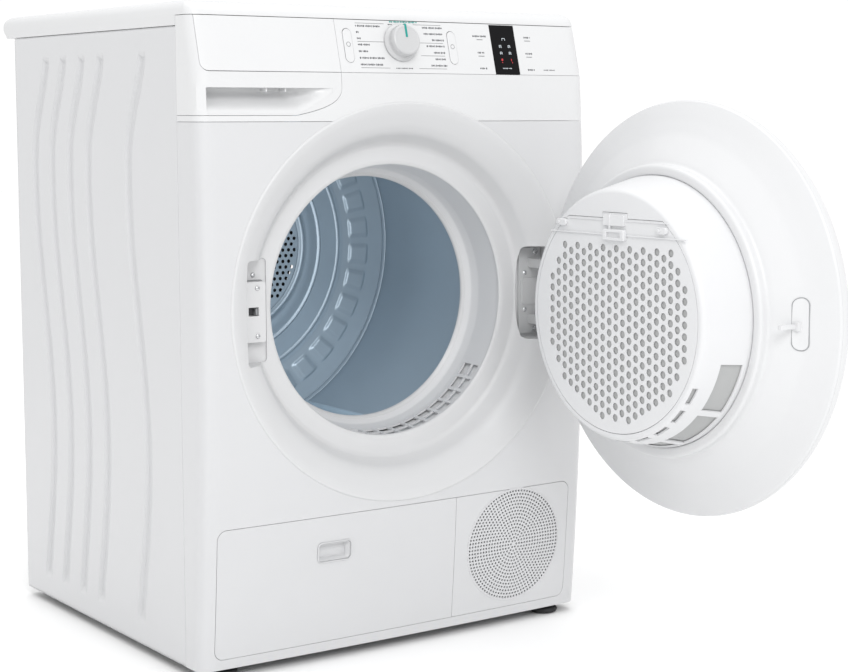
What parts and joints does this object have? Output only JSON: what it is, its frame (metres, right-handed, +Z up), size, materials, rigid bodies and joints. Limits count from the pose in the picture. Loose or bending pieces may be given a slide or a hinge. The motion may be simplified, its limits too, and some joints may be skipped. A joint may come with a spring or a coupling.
{
  "type": "clothes dryer",
  "caption": "Free-standing condenser clothes dryer with a round side-hinged door, a perforated drum, a drawer water tank, a lower service flap and a sloping control fascia.",
  "frame": {"origin": "on the floor, under the middle of the cabinet's footprint; the flat underside of the base sump is 6 mm above it", "axes": "+Z up, +Y towards the back of the cabinet, -Y out of the door opening, +X to the right as seen from the front (the door's hinge side)"},
  "size_m": [0.6, 1.1546, 0.85],
  "materials": {
    "white_enamel": "white baked enamel, faint orange peel",
    "white_plastic": "white moulded plastic, soft gloss",
    "worktop_laminate": "white laminate over board",
    "dish_plastic": "pale grey satin moulding",
    "inner_plastic": "white satin moulding",
    "drum_steel": "blue-grey coated sheet steel, satin",
    "lifter_plastic": "grey moulded plastic",
    "zinc_steel": "zinc-plated sheet",
    "dark_screen": "black glossy display cover",
    "rubber": "black rubber",
    "grey_rubber": "dark grey foot",
    "felt": "pressed wool felt",
    "clear_plastic": "translucent moulding",
    "circuit_board": "green board",
    "condenser_casing": "aluminium-coloured block in a plastic casing",
    "motor_metal": "cast motor can",
    "grey_plastic": "grey structural moulding",
    "black_plastic": "black moulding",
    "filter_mesh": "fine filter mesh in a frame",
    "bright_steel": "turned steel"
  },
  "bodies": {
    "cabinet": {"base_tray": "grey_plastic", "left_side_panel": "white_enamel", "right_side_panel": "white_enamel", "rear_panel": "zinc_steel", "rear_duct_cover": "grey_plastic", "worktop": "worktop_laminate", "front_panel": "white_plastic", "grille_panel": "white_plastic", "control_fascia": "white_plastic", "lower_fascia": "white_plastic", "display_window": "dark_screen", "control_board": "circuit_board", "dish_ring": "dish_plastic", "latch_plate": "dish_plastic", "hinge_bracket": "zinc_steel", "hinge_pin": "bright_steel", "throat_funnel": "inner_plastic", "front_shield": "zinc_steel", "front_felt_seal": "felt", "rear_bearing": "bright_steel", "drive_belt": "rubber", "motor": "motor_metal", "fan_housing": "clear_plastic", "heat_exchanger": "condenser_casing", "drain_pump": "black_plastic", "power_module": "clear_plastic", "mains_inlet": "black_plastic"},
    "door": {"door_trim_ring": "white_plastic", "door_disc": "white_plastic", "door_inner_panel": "white_plastic", "filter_housing": "inner_plastic", "lint_filter": "filter_mesh", "door_hook": "white_plastic", "hinge_leaf": "zinc_steel"},
    "filter_cover": {"filter_cover": "inner_plastic"},
    "latch_catch": {"latch_catch": "bright_steel"},
    "water_tank": {"tank_front": "white_plastic", "water_tank": "clear_plastic"},
    "kick_flap": {"kick_flap": "white_plastic"},
    "condenser_lever_1": {"condenser_lever_1": "black_plastic"},
    "condenser_lever_2": {"condenser_lever_2": "black_plastic"},
    "program_knob": {"program_knob": "white_plastic"},
    "power_button": {"power_button": "white_plastic"},
    "start_button": {"start_button": "white_plastic"},
    "drum": {"drum_shell": "drum_steel", "drum_back": "drum_steel", "lifter_1": "lifter_plastic", "lifter_2": "lifter_plastic", "lifter_3": "lifter_plastic"},
    "motor_shaft": {"motor_pulley": "bright_steel", "cooling_fan": "black_plastic", "process_fan": "black_plastic"},
    "front_roller_left": {"front_roller_left": "rubber"},
    "front_roller_right": {"front_roller_right": "rubber"},
    "tensioner_arm": {"tensioner_arm": "zinc_steel"},
    "tensioner_pulley": {"tensioner_pulley": "black_plastic"},
    "foot_1": {"foot_1": "grey_rubber"},
    "foot_2": {"foot_2": "grey_rubber"},
    "foot_3": {"foot_3": "grey_rubber"},
    "foot_4": {"foot_4": "grey_rubber"}
  },
  "joints": [
    {"name": "door_hinge", "type": "hinge", "parent": "cabinet", "child": "door", "pos_m": [0.2454, -0.3121, 0.4635], "axis": [0, 0, 1], "range_deg": [-92.25, 24]},
    {"name": "filter_cover_hinge", "type": "hinge", "parent": "door", "child": "filter_cover", "pos_m": [0.12103, -0.56258, 0.583], "axis": [-0.0393, 0.9992, 0], "range_deg": [0, 70]},
    {"name": "latch_catch_slide", "type": "slide", "parent": "cabinet", "child": "latch_catch", "axis": [1, 0, 0], "range_m": [0, 0.003], "stiffness_N_per_m": 300},
    {"name": "water_tank_slide", "type": "slide", "parent": "cabinet", "child": "water_tank", "axis": [0, -1, 0], "range_m": [0, 0.38]},
    {"name": "kick_flap_hinge", "type": "hinge", "parent": "cabinet", "child": "kick_flap", "pos_m": [0, -0.27, 0.027], "axis": [1, 0, 0], "range_deg": [0, 95]},
    {"name": "condenser_lever_1_turn", "type": "hinge", "parent": "cabinet", "child": "condenser_lever_1", "pos_m": [-0.258, -0.2335, 0.174], "axis": [0, 1, 0], "range_deg": [0, 90]},
    {"name": "condenser_lever_2_turn", "type": "hinge", "parent": "cabinet", "child": "condenser_lever_2", "pos_m": [-0.074, -0.2335, 0.174], "axis": [0, -1, 0], "range_deg": [0, 90]},
    {"name": "program_knob_turn", "type": "hinge", "parent": "cabinet", "child": "program_knob", "pos_m": [-0.002, -0.27393, 0.802], "axis": [0, -0.965, 0.2622], "continuous": true},
    {"name": "power_button_press", "type": "slide", "parent": "cabinet", "child": "power_button", "axis": [0, 0.965, -0.2622], "range_m": [0, 0.0012], "stiffness_N_per_m": 300},
    {"name": "start_button_press", "type": "slide", "parent": "cabinet", "child": "start_button", "axis": [0, 0.965, -0.2622], "range_m": [0, 0.0012], "stiffness_N_per_m": 300},
    {"name": "drum_spin", "type": "hinge", "parent": "cabinet", "child": "drum", "pos_m": [0, 0.03, 0.508], "axis": [0, 1, 0], "continuous": true},
    {"name": "motor_spin", "type": "hinge", "parent": "cabinet", "child": "motor_shaft", "pos_m": [0.1806, 0, 0.1142], "axis": [0, 1, 0], "continuous": true},
    {"name": "front_roller_left_spin", "type": "hinge", "parent": "cabinet", "child": "front_roller_left", "pos_m": [-0.1757, -0.149, 0.2571], "axis": [0, 1, 0], "continuous": true},
    {"name": "front_roller_right_spin", "type": "hinge", "parent": "cabinet", "child": "front_roller_right", "pos_m": [0.1757, -0.149, 0.2571], "axis": [0, 1, 0], "continuous": true},
    {"name": "tensioner_swing", "type": "hinge", "parent": "cabinet", "child": "tensioner_arm", "pos_m": [0.06, -0.13, 0.066], "axis": [0, -1, 0], "range_deg": [0, 10], "stiffness_Nm_per_rad": 6},
    {"name": "tensioner_pulley_spin", "type": "hinge", "parent": "tensioner_arm", "child": "tensioner_pulley", "pos_m": [0.078, -0.118, 0.143], "axis": [0, 1, 0], "continuous": true},
    {"name": "foot_1_screw", "type": "slide", "parent": "cabinet", "child": "foot_1", "axis": [0, 0, -1], "range_m": [0, 0.012]},
    {"name": "foot_2_screw", "type": "slide", "parent": "cabinet", "child": "foot_2", "axis": [0, 0, -1], "range_m": [0, 0.012]},
    {"name": "foot_3_screw", "type": "slide", "parent": "cabinet", "child": "foot_3", "axis": [0, 0, -1], "range_m": [0, 0.012]},
    {"name": "foot_4_screw", "type": "slide", "parent": "cabinet", "child": "foot_4", "axis": [0, 0, -1], "range_m": [0, 0.012]}
  ],
  "couplings": [
    {"joint": "motor_spin", "follows": "drum_spin", "ratio": 25.797},
    {"joint": "front_roller_left_spin", "follows": "drum_spin", "ratio": -12.909},
    {"joint": "front_roller_right_spin", "follows": "drum_spin", "ratio": -12.909},
    {"joint": "tensioner_pulley_spin", "follows": "drum_spin", "ratio": -17.76}
  ]
}
